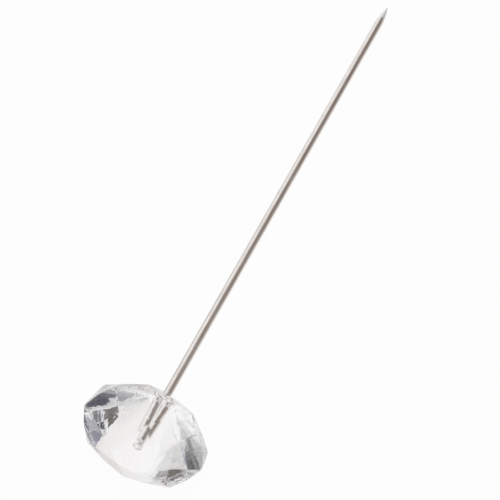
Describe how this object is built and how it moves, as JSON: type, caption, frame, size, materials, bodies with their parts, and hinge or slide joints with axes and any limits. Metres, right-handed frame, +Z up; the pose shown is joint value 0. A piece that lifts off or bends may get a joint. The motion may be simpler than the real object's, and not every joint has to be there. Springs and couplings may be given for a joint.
{
  "type": "diamond head pin",
  "caption": "Straight pointed steel wire pin with a clear brilliant-cut plastic head bonded to its blunt end, used to fasten flowers, ribbon or cloth.",
  "frame": {"origin": "centre of the bounding box's bottom face, on the surface the pin lies on", "axes": "+Y runs from the head towards the point, along the pin as it lies; +Z is up from the surface; +X is to the right seen from the head"},
  "size_m": [0.0084, 0.0508, 0.0084],
  "materials": {
    "clear_plastic": "polished clear acrylic with faint pink and green tints",
    "nickelled_steel": "drawn nickelled wire, bright with fine lengthwise streaks",
    "cured_adhesive": "cured clear adhesive, slightly warm"
  },
  "bodies": {
    "root": {"diamond_head": "clear_plastic", "wire_shank": "nickelled_steel", "adhesive_bond": "cured_adhesive"}
  },
  "joints": []
}
